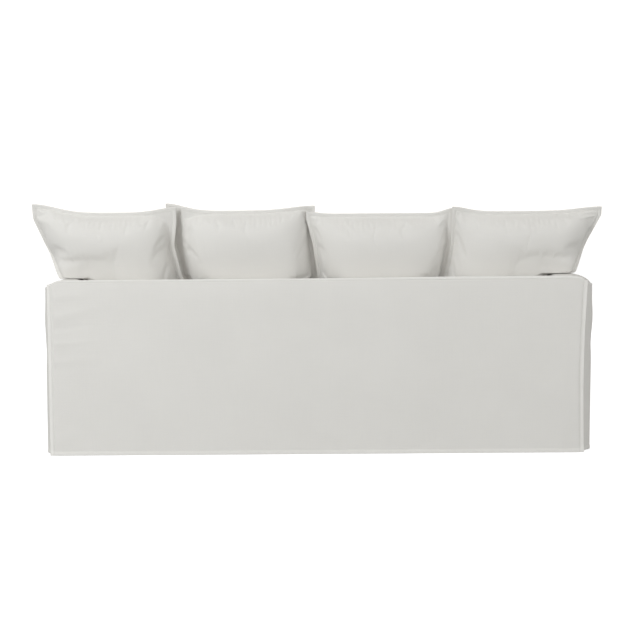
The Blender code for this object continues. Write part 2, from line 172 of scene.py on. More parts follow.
def stations(start, *stretches):
    """Places along a panel, from a start through stretches of (end, spacing)."""
    places = [start]
    for end, spacing in stretches:
        count = max(1, round(abs(end - places[-1]) / spacing))
        places += list(np.linspace(places[-1], end, count + 1)[1:])
    return np.array(places)


def slack(a, b, size, seed):
    """Soft unevenness of hanging cloth, from -1 to 1: a few crossing waves of about that size."""
    chance = np.random.default_rng(seed)
    total = 0
    for _ in range(7):
        turn, wave = chance.uniform(0, math.pi), size * chance.uniform(0.7, 1.6)
        phase = chance.uniform(0, 6.28)
        total = total + np.sin(2 * math.pi * (a * math.cos(turn) + b * math.sin(turn)) / wave + phase)
    return total / 7


def drag_lines(a, b, folds):
    """Height of the folds in a table, at places a, b on a panel."""
    total = np.zeros(np.broadcast(a, b).shape)
    for fold in folds:
        (a0, b0), (a1, b1) = fold["start"], fold["end"]
        length = math.hypot(a1 - a0, b1 - b0)
        along = ((a - a0) * (a1 - a0) + (b - b0) * (b1 - b0)) / length ** 2
        across = ((a - a0) * (b1 - b0) - (b - b0) * (a1 - a0)) / length / fold["width"]
        reach = smooth(along * 4 + 1) * smooth((1.15 - along) / 0.9)
        total = total + fold["height"] * reach * np.exp(-across ** 2)
    return total


def stitch_groove(distance):
    """The soft dimple that a row of stitching pulls into the cloth."""
    return np.exp(-(distance / 0.0022) ** 2)


def nearest(values, wanted):
    """The number of the value that is nearest to the one wanted."""
    return int(np.argmin(np.abs(values - wanted)))


def hem_at(z):
    """1 on the turned-up hem and 0 above it."""
    return smooth((HEM - z) / HEM_STEP)


def highlight_on_edges(standing, hem, turned_out=0.0):
    """Painted highlight: how much lighter the cloth is painted, fully on flanges and less on the hem, for the
    light that their edges catch.
    """
    return np.clip(turned_out / 0.003 + standing / 0.002 + hem * 0.6, 0, 1)


def falling(side, t):
    """How the top falls to its outer seam, 1 at the seam and 0 where it is level: slack or round."""
    left = 1 - np.clip(t, 0, 1)
    return mix(left ** 2, 1 - np.sqrt(1 - left ** 2), ROUND_SHOULDER[side])


def corner_seam(side, z):
    """How far from the middle a rear corner seam runs, at a height."""
    up = np.minimum(z / HEIGHT, 1)
    return SEAM[side] - SEAM_TAPER[side] * (1 - up) - SEAM_DRAW[side] * np.sin(math.pi * up)


def two_layers(name, outer, inner, flat, painted_highlight):
    """A closed body from the points of its outer and inner face, joined round the rim. Its UV map is the flat
    cloth."""
    count = outer[..., 0].size
    number = np.arange(count).reshape(outer.shape[:2])
    quads = np.stack([number[:-1, :-1], number[:-1, 1:], number[1:, 1:], number[1:, :-1]], -1).reshape(-1, 4)
    rim = np.concatenate([number[0, :-1], number[:-1, -1], number[-1, :0:-1], number[:0:-1, 0]])
    after = np.roll(rim, -1)
    edge = np.stack([after, rim, rim + count, after + count], -1)
    places = np.concatenate([outer.reshape(-1, 3), inner.reshape(-1, 3)])
    mesh = bpy.data.meshes.new(name)
    mesh.from_pydata(places.tolist(), [], np.concatenate([quads, quads[:, ::-1] + count, edge]).tolist())
    corners = np.zeros(len(mesh.loops), int)
    mesh.loops.foreach_get("vertex_index", corners)
    flat = flat.reshape(-1, 2)
    mesh.uv_layers.new(name="cloth").data.foreach_set("uv", np.concatenate([flat, flat])[corners].ravel())
    # The mask of the painted highlight on flanges and hems, kept as an attribute for the material
    mark = np.broadcast_to(painted_highlight, outer.shape[:2]).ravel()
    mesh.attributes.new("painted_highlight", "FLOAT", "POINT").data.foreach_set("value", np.concatenate([mark, mark]))
    mesh.shade_smooth()
    piece = bpy.data.objects.new(name, mesh)
    bpy.context.scene.collection.objects.link(piece)
    return piece


def sewn_panel(name, points, thickness, painted_highlight, stitched=()):
    """Cloth from a grid of its middle points. The rows and columns that carry a line of stitching are noted."""
    thickness = np.broadcast_to(thickness, points.shape[:2])[..., None]
    normal = np.cross(np.gradient(points, axis=1), np.gradient(points, axis=0))
    normal /= np.linalg.norm(normal, axis=2, keepdims=True)
    outside = points + normal * thickness / 2
    cover_stitching.extend(outside[line] for line in stitched)
    across, up = np.zeros(points.shape[:2]), np.zeros(points.shape[:2])
    across[:, 1:] = np.cumsum(np.linalg.norm(np.diff(points, axis=1), axis=2), axis=1)
    up[1:] = np.cumsum(np.linalg.norm(np.diff(points, axis=0), axis=2), axis=0)
    return two_layers(name, outside, points - normal * thickness / 2, np.stack([across, up], -1), painted_highlight)


def fit(piece, node, material):
    """Puts a finished piece in the place of its node."""
    piece.data.materials.append(material)
    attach(piece, "root")
    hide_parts(node)


def outside_back():
    columns = np.concatenate([
        stations(-1 - FLANGE, (-1, 0.002)),
        stations(-0.9985, (-0.97, 0.0015), (-0.95, 0.004), (0.95, 0.0100), (0.97, 0.004), (0.9985, 0.0015)),
        stations(1, (1 + FLANGE, 0.002)),
    ])
    rows = np.concatenate([
        stations(0, (0.032, 0.0018), (0.95, 0.0122), (0.98, 0.004), (1, 0.002)),
        stations(1.0015, (1 + TOP_FLANGE, 0.0018)),
    ])
    u, v = np.meshgrid(columns, rows)
    height = np.minimum(v, 1)
    seam = np.where(u < 0, corner_seam(-1, height * HEIGHT), corner_seam(1, height * HEIGHT))
    inside = np.clip(np.abs(u), 0, 1) * seam
    turned_out = np.maximum(np.abs(u) - 1, 0)
    x = np.sign(u) * (inside + turned_out)
    from_seam = (seam - inside) / REAR_ROUND
    drop = REAR_DROP * np.where(u < 0, falling(-1, from_seam), falling(1, from_seam))
    # The flange along the top stands up a little higher towards the right arm
    standing = np.maximum(v - 1, 0) * (1 + 0.45 * smooth((x - 0.10) / 0.50) * (1 - smooth((x - 0.98) / 0.06)))
    z = height * (HEIGHT - drop) + standing
    # The cloth stands a little proud of its seams, sags in shallow waves and is dragged at the corners
    held = smooth((seam - inside) / 0.07) * smooth((HEIGHT - z) / 0.07)
    proud = 0.0012 * smooth((HEIGHT - z) / 0.030) * smooth((seam - inside) / 0.012)
    proud = proud + 0.0018 * smooth((HEIGHT - z) / 0.100) * smooth((seam - inside) / 0.012)
    waves = 0.0020 * slack(x, z * 1.4, 0.75, 3) + 0.0005 * slack(x, z, 0.22, 8)
    hem_sway = 0.0024 * np.exp(-z / 0.08) * slack(x, z * 0.3, 0.42, 5)
    drags = drag_lines(x, z, BACK_FOLDS) * smooth((seam - inside) / 0.02)
    hem = hem_at(z)
    groove = HEM_GROOVE * stitch_groove(z - HEM + STITCH_IN)
    groove = np.maximum(groove, SIDE_GROOVE * stitch_groove(seam - inside + turned_out * 3 - STITCH_IN))
    from_top = (HEIGHT - drop) * (1 - height) + standing * 3
    groove = np.maximum(groove, TOP_GROOVE * stitch_groove(from_top - STITCH_IN))
    flutter = (0.0016 * slack(z, x * 0.01, 0.16, 11) - 0.0015) * np.maximum(turned_out / FLANGE, 0)
    flutter = flutter + (0.0008 * slack(x, z * 0.01, 0.20, 12) - 0.0006) * standing / TOP_FLANGE
    out = held * (waves + 0.0015) + proud + hem_sway * held + drags
    y = REAR - out - flutter + groove - hem * HEM_FOLD / 2
    painted_highlight = highlight_on_edges(standing, hem, turned_out)
    sewn_in = STITCH_IN / SEAM[1]
    stitched = [np.s_[:, nearest(columns, side * (1 - sewn_in))] for side in (-1, 1)]
    stitched += [np.s_[nearest(rows, part), :] for part in (1 - STITCH_IN / HEIGHT, (HEM - STITCH_IN) / HEIGHT)]
    return sewn_panel("outside_back_panel", np.stack([x, y, z], -1), CLOTH + hem * HEM_FOLD, painted_highlight, stitched)


back_panel = outside_back()
fit(back_panel, "outside_back", canvas)


# Outside arms -----------------------------------------------------------------------------------------------
# A panel on the outside of each arm, cut loose so that it stands out from the corner seams. Its top edge stands
# up as a flange in the seam to the arm's top, and its bottom is hemmed. The slack hangs in soft upright folds.

ARM_FULL = {-1: 1.076, 1: 1.102}  # how far the cloth stands out from the middle
ARM_TAPER = {-1: 0.000, 1: 0.010}  # how much less it stands out at the floor
STRAIGHT, FULL_WITHIN = 0.008, 0.100  # it starts this far from a corner seam, and is full after this much more
FRONT_FULLNESS = 0.65  # the front's share of that
FULL_DROP, FULL_ROUND = 0.036, 0.080  # how the arm's outer top edge falls away, and over what width
ARM_FLANGE = 0.0096
# Spacing of a panel's points along an arm, in metres, and up it, as a share of its height
ALONG_ARM = ((REAR + 0.02, 0.003), (FRONT - 0.02, 0.0110), (FRONT - SEWN, 0.003))
UP_ARM = ((0.045, 0.0022), (0.97, 0.0145), (1, 0.0021))

ARM_FOLDS = (
    dict(start=(-0.44, 0.600), end=(-0.20, 0.360), width=0.040, height=0.0035),
    dict(start=(-0.43, 0.480), end=(-0.24, 0.300), width=0.030, height=-0.0025),
    dict(start=(0.44, 0.600), end=(0.18, 0.340), width=0.045, height=0.0035),
    dict(start=(0.43, 0.430), end=(0.22, 0.280), width=0.032, height=-0.0022),
    dict(start=(-0.25, 0.020), end=(-0.23, 0.330), width=0.035, height=0.0045),
    dict(start=(-0.08, 0.020), end=(-0.07, 0.260), width=0.040, height=-0.0035),
    dict(start=(0.12, 0.020), end=(0.10, 0.300), width=0.038, height=0.0040),
    dict(start=(0.29, 0.020), end=(0.28, 0.220), width=0.030, height=-0.0030),
)


def fullness(y):
    """0 at the rear corner seam and 1 where the arm's cloth stands out fully."""
    rear = smooth((y - REAR - STRAIGHT) / FULL_WITHIN)
    front = smooth((FRONT - STRAIGHT - y) / FULL_WITHIN)
    return rear * mix(FRONT_FULLNESS, 1, front)


def arm_outside(side, y, z):
    """How far from the middle the outside of an arm's cloth is."""
    full = ARM_FULL[side] - ARM_TAPER[side] * (1 - np.minimum(z / HEIGHT, 1))
    return mix(corner_seam(side, z), full, fullness(y))


def arm_seam(y):
    """Height of the seam along the arm's outer top edge."""
    return HEIGHT - mix(REAR_DROP, FULL_DROP, fullness(y))


def shoulder(side, y, from_seam):
    """How far the top has dropped, this far in from the arm's outer seam."""
    width = mix(REAR_ROUND, FULL_ROUND, fullness(y))
    return (HEIGHT - arm_seam(y)) * falling(side, from_seam / width)


def outside_arm(side):
    deep = stations(REAR + SEWN, *ALONG_ARM)
    rows = np.concatenate([stations(0, *UP_ARM), stations(1.0016, (1 + ARM_FLANGE, 0.002))])
    y, v = np.meshgrid(deep, rows)
    standing = np.maximum(v - 1, 0)
    z = np.minimum(v, 1) * arm_seam(y) + standing
    held = smooth((y - REAR) / 0.10) * smooth((FRONT - y) / 0.10) * smooth((arm_seam(y) - z) / 0.12)
    loose = drag_lines(y * side if side < 0 else y, z, ARM_FOLDS) + 0.0022 * slack(y, z * 0.4, 0.30, 20 + side)
    hem = hem_at(z)
    groove = stitch_groove(arm_seam(y) - z + 4 * standing - STITCH_IN)
    groove = HEM_GROOVE * np.maximum(stitch_groove(z - HEM + STITCH_IN), groove)
    flutter = 0.0012 * slack(y, z * 0.01, 0.18, 30 + side) * standing / ARM_FLANGE
    x = arm_outside(side, y, z) + held * loose - groove + flutter + hem * HEM_FOLD / 2
    painted_highlight = highlight_on_edges(standing, hem)
    points = np.stack([side * x, y, z], -1)
    if side < 0:
        points, painted_highlight, hem = points[:, ::-1], painted_highlight[:, ::-1], hem[:, ::-1]
    stitched = [np.s_[nearest(rows * HEIGHT, place), :] for place in (HEIGHT - STITCH_IN, HEM - STITCH_IN)]
    return sewn_panel("outside_arm_panel_" + SIDE[side], points, CLOTH + hem * HEM_FOLD, painted_highlight, stitched)


for side in (-1, 1):
    arm_panel = outside_arm(side)
    fit(arm_panel, "outside_arm_" + SIDE[side], canvas)


# Arm tops ---------------------------------------------------------------------------------------------------
# One piece of canvas over the top of each arm and down its inside, where it is tucked in behind the seat. The
# arm under it is padded, so the top is a little crowned and its outer edge rounded.

INNER_ARM = 0.940  # the arms' inner faces, from the middle
INNER_ROUNDING = 0.014
ARM_CROWN = {-1: 0.007, 1: 0.012}
BACK_THICKNESS = 0.130
BACK_SLOPE = math.radians(20)
BACK_ROUNDING = 0.035
SEAT_HEIGHT = 0.430
TUCK = 0.024  # how far the cloth goes down behind the seat


def inside_back(z):
    """The place along Y of the sloped inside back, at a height."""
    return REAR + BACK_THICKNESS + (HEIGHT - z) * math.tan(BACK_SLOPE)


def even_lengths(line, spacing_count):
    """A line of points, shared out again into equal steps."""
    run = np.concatenate([[0], np.cumsum(np.linalg.norm(np.diff(line, axis=0), axis=1))])
    even = np.linspace(0, run[-1], spacing_count)
    return np.stack([np.interp(even, run, line[:, k]) for k in range(line.shape[1])], -1)


def arm_top(side):
    deep = stations(REAR + SEWN, *ALONG_ARM)
    sections = []
    for y in deep:
        outer = arm_outside(side, y, arm_seam(y)) - 0.0030
        width = mix(REAR_ROUND, FULL_ROUND, fullness(y))
        crown = ARM_CROWN[side] * smooth((y - REAR) / 0.16) * smooth((FRONT - y) / 0.2)
        t = np.linspace(0, 1, 24) ** 2
        fall = falling(side, t)
        top = np.stack([outer - width * t, HEIGHT - (HEIGHT - arm_seam(y)) * fall + crown * (1 - fall)], -1)
        centre = INNER_ARM + INNER_ROUNDING
        flat = np.stack([np.linspace(top[-1, 0], centre, 4)[1:-1], np.full(2, HEIGHT + crown)], -1)
        turn = np.radians(np.linspace(90, 180, 10))
        drop = INNER_ROUNDING * (1 - np.sin(turn))
        edge = np.stack([centre + INNER_ROUNDING * np.cos(turn), HEIGHT - drop + crown * np.sin(turn)], -1)
        low = np.linspace(HEIGHT - INNER_ROUNDING, SEAT_HEIGHT - TUCK, 21)[1:]
        down = np.stack([np.full(len(low), INNER_ARM), low], -1)
        sections.append(even_lengths(np.concatenate([top, flat, edge, down]), 58))
    section = np.array(sections).transpose(1, 0, 2)
    x, z = section[..., 0], section[..., 1]
    y = np.broadcast_to(deep, x.shape)
    inner = smooth((HEIGHT - 0.006 - z) / 0.012) * (x < INNER_ARM + 0.01)
    start = inside_back(np.minimum(z, HEIGHT - BACK_ROUNDING)) - 0.010
    share = (y - deep[0]) / (deep[-1] - deep[0])
    y = mix(y, mix(start, deep[-1], share), inner)
    held = smooth((y - REAR) / 0.05) * smooth((FRONT - y) / 0.05)
    over = 0.0016 * slack(y * 1.3, x + z, 0.20, 40 + side) + 0.0007 * slack(y, (x + z) * 0.5, 0.07, 44 + side)
    tucked = smooth((z - SEAT_HEIGHT + 0.02) / 0.10)
    x = x + over * held * inner * tucked * (z < HEIGHT - 0.02)
    z = z + over * held * (1 - inner) * smooth((arm_outside(side, y, arm_seam(y)) - x) / 0.03) * 0.7
    points = np.stack([side * x, y, z], -1)
    if side > 0:
        points = points[:, ::-1]
    return sewn_panel("arm_top_panel_" + SIDE[side], points, CLOTH, 0.0)


for side in (-1, 1):
    top_panel = arm_top(side)
    fit(top_panel, "arm_top_" + SIDE[side], canvas)


# Arm fronts -------------------------------------------------------------------------------------------------
# A narrow upright panel closes the front of each arm from the floor to the top, flanged on both sides and over
# the top, and hemmed at the floor.


def arm_front(side):
    columns = np.concatenate([
        stations(-FLANGE, (-0.002, 0.002)), stations(0, (0.06, 0.010), (0.94, 0.05), (1, 0.010)),
        stations(1.002, (1 + FLANGE, 0.002)),
    ])
    rows = np.concatenate([stations(0, *UP_ARM), stations(1.0018, (1 + TOP_FLANGE, 0.0018))])
    u, v = np.meshgrid(columns, rows)
    height = np.minimum(v, 1)
    outer = arm_outside(side, FRONT, height * HEIGHT)
    x = mix(INNER_ARM, outer, np.clip(u, 0, 1))
    drop = shoulder(side, FRONT, outer - x)
    turned_out = np.maximum(u - 1, 0) - np.maximum(-u, 0)
    standing = np.maximum(v - 1, 0)
    z = height * (HEIGHT - drop) + standing
    from_seam = np.minimum(x - INNER_ARM, outer - x)
    bow = 0.006 * np.sin(math.pi * np.clip(u, 0, 1)) * smooth((HEIGHT - z) / 0.1)
    waves = 0.0012 * slack(x, z * 0.7, 0.20, 50 + side) * smooth(from_seam / 0.03) * smooth((HEIGHT - z) / 0.06)
    hem = hem_at(z)
    groove = stitch_groove(from_seam + 3 * np.abs(turned_out) - STITCH_IN)
    groove = np.maximum(groove, stitch_groove((HEIGHT - drop) * (1 - height) + standing * 3 - STITCH_IN))
    groove = HEM_GROOVE * np.maximum(groove, stitch_groove(z - HEM + STITCH_IN))
    flutter = 0.0014 * slack(z, x * 0.01, 0.15, 54 + side) * np.abs(turned_out) / FLANGE
    y = FRONT + bow + waves - groove + flutter + hem * HEM_FOLD / 2
    painted_highlight = highlight_on_edges(standing, hem, np.abs(turned_out))
    points = np.stack([side * (x + turned_out), y, z], -1)
    if side > 0:
        points, painted_highlight, hem = points[:, ::-1], painted_highlight[:, ::-1], hem[:, ::-1]
    stitched = [np.s_[nearest(rows * HEIGHT, place), :] for place in (HEIGHT - STITCH_IN, HEM - STITCH_IN)]
    stitched += [np.s_[:, nearest(columns, place)] for place in (0.02, 0.98)]
    return sewn_panel("arm_front_panel_" + SIDE[side], points, CLOTH + hem * HEM_FOLD, painted_highlight, stitched)


for side in (-1, 1):
    front_panel = arm_front(side)
    fit(front_panel, "arm_front_" + SIDE[side], canvas)


# Inside back ------------------------------------------------------------------------------------------------
# The top of the back and its sloped inside are one piece of canvas, rounded over the padded front edge and
# tucked down behind the seat. The cushions lean on it.


def inside_back_panel():
    half = INNER_ARM - SEWN
    centre_y = REAR + BACK_THICKNESS - BACK_ROUNDING * (1 - math.sin(BACK_SLOPE)) / math.cos(BACK_SLOPE)
    centre_z = HEIGHT - BACK_ROUNDING
    top = np.stack([np.linspace(REAR + SEWN, centre_y, 12), np.full(12, HEIGHT)], -1)
    turn = np.linspace(math.pi / 2, BACK_SLOPE, 12)[1:]
    edge = np.stack([centre_y + BACK_ROUNDING * np.cos(turn), centre_z + BACK_ROUNDING * np.sin(turn)], -1)
    low = np.linspace(edge[-1, 1], SEAT_HEIGHT - TUCK, 30)[1:]
    section = even_lengths(np.concatenate([top, edge, np.stack([inside_back(low), low], -1)]), 52)
    columns = stations(-1, (-0.96, 0.004), (0.96, 0.014), (1, 0.004))
    u, row = np.meshgrid(columns, np.arange(len(section)))
    x, y, z = u * half, section[row, 0], section[row, 1]
    on_top = smooth((z - HEIGHT + BACK_ROUNDING) / BACK_ROUNDING)
    valley = INNER_ROUNDING * 0.6 * (1 - smooth((1 - np.abs(u)) * half / 0.035))
    held = smooth((half - np.abs(x)) / 0.06) * smooth((y - REAR) / 0.03)
    ripple = -0.0008 * (1 + slack(x, y, 0.18, 60)) * held * on_top
    z = z - valley * on_top + ripple
    points = np.stack([x, y, z], -1)
    return sewn_panel("inside_back_panel", points, CLOTH, 0.0)


inner_panel = inside_back_panel()
fit(inner_panel, "inside_back", canvas)


# Seat -------------------------------------------------------------------------------------------------------
# The seat's top is one wide piece, drawn over a crowned seat and eased by use into a few soft hollows and
# creases. The apron below it hangs from the seat's front edge to the floor, sewn on with a flange.

SEAT_CROWN = 0.014
SEAT_FOLDS = (
    dict(start=(-0.93, 0.36), end=(-0.62, 0.20), width=0.030, height=0.0030),
    dict(start=(-0.93, 0.10), end=(-0.70, 0.12), width=0.022, height=-0.0022),
    dict(start=(0.93, 0.38), end=(0.60, 0.22), width=0.032, height=0.0030),
    dict(start=(0.93, 0.05), end=(0.72, 0.10), width=0.024, height=-0.0022),
    dict(start=(-0.40, 0.46), end=(-0.34, 0.20), width=0.026, height=-0.0018),
    dict(start=(0.16, 0.46), end=(0.10, 0.16), width=0.030, height=0.0022),
    dict(start=(0.44, 0.46), end=(0.47, 0.24), width=0.024, height=-0.0018),
)
APRON_FOLDS = (
    dict(start=(-0.90, 0.400), end=(-0.70, 0.150), width=0.040, height=0.0030),
    dict(start=(0.90, 0.400), end=(0.72, 0.140), width=0.040, height=0.0030),
    dict(start=(-0.32, 0.010), end=(-0.30, 0.260), width=0.045, height=0.0034),
    dict(start=(-0.10, 0.010), end=(-0.12, 0.200), width=0.036, height=-0.0030),
    dict(start=(0.30, 0.010), end=(0.28, 0.280), width=0.042, height=0.0034),
    dict(start=(0.52, 0.010), end=(0.53, 0.200), width=0.036, height=-0.0026),
)


def seat(x, y):
    """Height of the seat's crowned top."""
    back = inside_back(SEAT_HEIGHT)
    along = (y - back) / (FRONT - back)
    return SEAT_HEIGHT + SEAT_CROWN * (1 - (x / INNER_ARM) ** 2) * (1 - (2 * along - 1) ** 4)


def apron_face(x, z):
    """The place along Y of the front apron, just behind the arm fronts' flanges."""
    sides = smooth((INNER_ARM - np.abs(x)) / 0.1)
    wave = 0.003 * np.sin(9.0 * x) * smooth(1 - z / SEAT_HEIGHT) * sides
    return FRONT - 0.0026 - 0.004 * sides + wave


def seat_deck():
    half = INNER_ARM - SEWN
    back = inside_back(SEAT_HEIGHT) + SEWN / math.cos(BACK_SLOPE) + 0.0011 * math.tan(BACK_SLOPE)
    columns = stations(-1, (-0.97, 0.003), (0.97, 0.0150), (1, 0.003))
    u, t = np.meshgrid(columns, stations(0, (0.03, 0.004), (0.97, 0.0180), (1, 0.004)))
    x = u * half
    y = mix(back, apron_face(x, SEAT_HEIGHT) - SEWN - 0.0001, t)
    held = smooth((half - np.abs(x)) / 0.05) * smooth((y - back) / 0.25) * smooth((FRONT - y) / 0.04)
    sat = 0.0040 * slack(x, y, 0.55, 70) + drag_lines(x, y, SEAT_FOLDS) + 0.0010 * slack(x, y, 0.12, 71)
    return sewn_panel("seat_deck_panel", np.stack([x, y, seat(x, y) + held * sat], -1), CLOTH, 0.0)


def front_apron():
    half = INNER_ARM - FLANGE / 3
    columns = stations(-1, (-0.97, 0.004), (0.97, 0.0145), (1, 0.004))
    rows = stations(0, (0.07, 0.0035), (0.96, 0.0250), (1, 0.0033))
    rows = np.concatenate([rows, stations(1.0018, (1 + TOP_FLANGE, 0.0018))])
    u, v = np.meshgrid(columns, rows)
    x = u * half
    standing = np.maximum(v - 1, 0)
    z = np.minimum(v, 1) * SEAT_HEIGHT + standing
    held = smooth((INNER_ARM - np.abs(x)) / 0.05) * smooth((SEAT_HEIGHT - z) / 0.10)
    hem = hem_at(z)
    groove = stitch_groove(SEAT_HEIGHT - z + 4 * standing - STITCH_IN)
    groove = HEM_GROOVE * np.maximum(stitch_groove(z - HEM + STITCH_IN), groove)
    flutter = 0.0010 * (slack(x, z * 0.01, 0.20, 75) + 0.6) * standing / TOP_FLANGE
    hang = drag_lines(x, z, APRON_FOLDS) + 0.0014 * slack(x, z * 0.5, 0.28, 76)
    y = apron_face(x, z) + held * hang - groove + flutter + hem * HEM_FOLD / 2
    painted_highlight = highlight_on_edges(standing, hem)
    points, painted_highlight, hem = np.stack([x, y, z], -1)[:, ::-1], painted_highlight[:, ::-1], hem[:, ::-1]
    z_rows = rows * SEAT_HEIGHT
    stitched = [np.s_[nearest(z_rows, place), :] for place in (SEAT_HEIGHT - STITCH_IN, HEM - STITCH_IN)]
    return sewn_panel("front_apron_panel", points, CLOTH + hem * HEM_FOLD, painted_highlight, stitched)


deck_panel = seat_deck()
fit(deck_panel, "seat_deck", canvas)
apron_panel = front_apron()
fit(apron_panel, "front_apron", canvas)


# Back cushions ----------------------------------------------------------------------------------------------
# Four loose cushions, soft filling in covers of the same canvas. Each cover is two panels sewn together inside
# a flat flange. They stand in a row on the seat and lean on the inside back, with empty corners that stand up
# as ears, and the cloth is gathered a little along the seams where the filling strains it.

CUSHION_CROWN = 0.092  # half the thickness of a full cushion
CUSHION_FLANGE = 0.015
FLANGE_HALF = 0.0016  # half the thickness of the flange
CUSHION_STAND = 0.0006  # what the cushions clear the cloth under them by
PUSHED_WITHIN = 0.055  # how near its side a cushion is pushed forward by the next one
RIPPLE = 0.0205  # from one gather to the next
cushion_stitching = {}  # the seams round each cushion, noted as the cushions are made

# Levels up the cloth at which the rows below place a cushion's side edges, beside a cushion and beside an arm, and
# the real heights of the latter, as the cloth of the second and third levels lies over the arm
BESIDE_CUSHION = (0.580, 0.640, 0.700, 0.830, 0.935)
BESIDE_ARM = (0.640, 0.680, 0.715, 0.830, 0.935)
OVER_ARM = {
    side: (0.640, HEIGHT + crown + above, HEIGHT + crown + above + 0.0014, 0.830, 0.935)
    for side, crown, above in ((-1, ARM_CROWN[-1], 0.0012), (1, ARM_CROWN[1], 0.0020))
}

# One row for each cushion, left to right from behind: what is beside it, the height of its top edge, where its
# side edges are, how far its corners rise as ears and over what length, how far its upper corners lean to the
# front and its sides are pushed there, the share of each half that is empty beside the seam, how far what is over
# an arm reaches back and droops, how full its upper corners are, and where along X the top seam gathers the cloth
CUSHIONS = (
    dict(name="back_cushion_1", by=("arm", "cushion"), middle=0.956,
         left=(-0.922, -0.932, -1.026, -1.086, -1.127), right=(-0.495, -0.510, -0.541, -0.566, -0.552),
         rise=(0.037, 0.020), ear=(0.130, 0.100), set_back=(0.0, 0.0), behind=(0.0, 0.0),
         empty=(0.0, 0.04), lap=(0.075, 0.005), corner=(1, 0.6),
         gathers=((-0.95, -0.72),)),
    dict(name="back_cushion_2", by=("cushion", "cushion"), middle=0.960,
         left=(-0.482, -0.505, -0.552, -0.578, -0.600), right=(-0.010, -0.004, 0.016, 0.004, 0.001),
         rise=(0.032, 0.018), ear=(0.105, 0.130), set_back=(0.010, 0.012), behind=(0.055, 0.018),
         empty=(0.11, 0.05), lap=(0.0, 0.0), corner=(0, 1),
         gathers=((-0.48, -0.40), (-0.31, -0.10))),
    dict(name="back_cushion_3", by=("cushion", "cushion"), middle=0.945,
         left=(0.002, 0.004, 0.008, -0.010, -0.034), right=(0.464, 0.484, 0.524, 0.546, 0.548),
         rise=(0.009, 0.018), ear=(0.060, 0.045), set_back=(0.0, 0.0), behind=(0.0, -0.010),
         empty=(0.0, 0.03), lap=(0.0, 0.0), corner=(1, 1),
         gathers=((-0.02, 0.06), (0.085, 0.34))),
    dict(name="back_cushion_4", by=("cushion", "arm"), middle=0.949,
         left=(0.476, 0.492, 0.521, 0.545, 0.546), right=(0.922, 0.932, 1.044, 1.092, 1.143),
         rise=(0.020, 0.016), ear=(0.085, 0.125), set_back=(0.0, 0.0), behind=(-0.020, 0.0),
         empty=(0.0, 0.0), lap=(0.060, 0.000), corner=(1, 1),
         gathers=((0.73, 0.98),)),
)


def side_edge(row, side, level):
    """A side edge's place along X and its height, and its place if there were no arm below it."""
    places = row[("left", "right")[side]]
    if row["by"][side] == "cushion":
        at = np.interp(level, BESIDE_CUSHION, places)
        return at, level, at
    at = np.interp(level, BESIDE_ARM, places)
    near_arm = (level > BESIDE_ARM[0]) & (level < BESIDE_ARM[-1])
    height = np.where(near_arm, np.interp(level, BESIDE_ARM, OVER_ARM[(-1, 1)[side]]), level)
    calm = mix(places[0], places[3], smooth((level - 0.56) / (BESIDE_ARM[3] - 0.56)))
    return at, height, np.where(level > BESIDE_ARM[3], at, calm)


def filled(row, u, up, level):
    """How full a cushion is: full in the middle, drawn in at the seams, and empty in some corners. An arm below
    pushes the filling out to the side."""
    empty = np.where(u < 0, row["empty"][0], row["empty"][1])
    along, upright = np.minimum(np.abs(u) / (1 - empty), 1), np.clip(2 * up - 1, -1, 1)
    pushed_up = smooth((level - 0.58) / 0.05) * (1 - smooth((level - BESIDE_ARM[2]) / 0.08))
    pushed_up = pushed_up * np.where(u < 0, row["by"][0] == "arm", row["by"][1] == "arm")
    across, above = along ** (4.5 + 13 * pushed_up), np.abs(upright) ** 3.5
    corner = np.where(upright > 0, np.where(u < 0, row["corner"][0], row["corner"][1]), 1)
    filling = np.maximum(1 - across - above + corner * across * above, 0) ** 0.5
    return filling * (1 - 0.85 * np.abs(along * upright) ** 3)


def seam_pinch(from_seam):
    """How much nearer the seam draws each layer. Outside it the flange is a little fuller."""
    return 0.0012 * np.exp(-(from_seam / 0.0035) ** 2) - 0.0006 * smooth(-from_seam / 0.008)


def gathered(row, x, below):
    """Ripples in the cloth where its top seam gathers it, this far below the seam."""
    strained = sum(smooth((x - a) / 0.03) * smooth((b - x) / 0.03) for a, b in row["gathers"])
    strained = strained * smooth(below / 0.004) * (1 - smooth((below - 0.004) / 0.040))
    ripples = np.sin(2 * math.pi * x / RIPPLE + 2.2 * slack(x, below * 0.3, 0.11, 80))
    ripples = ripples * (0.75 + 0.9 * slack(x, below * 0.2, 0.09, 81))
    return 0.0013 * strained * ripples


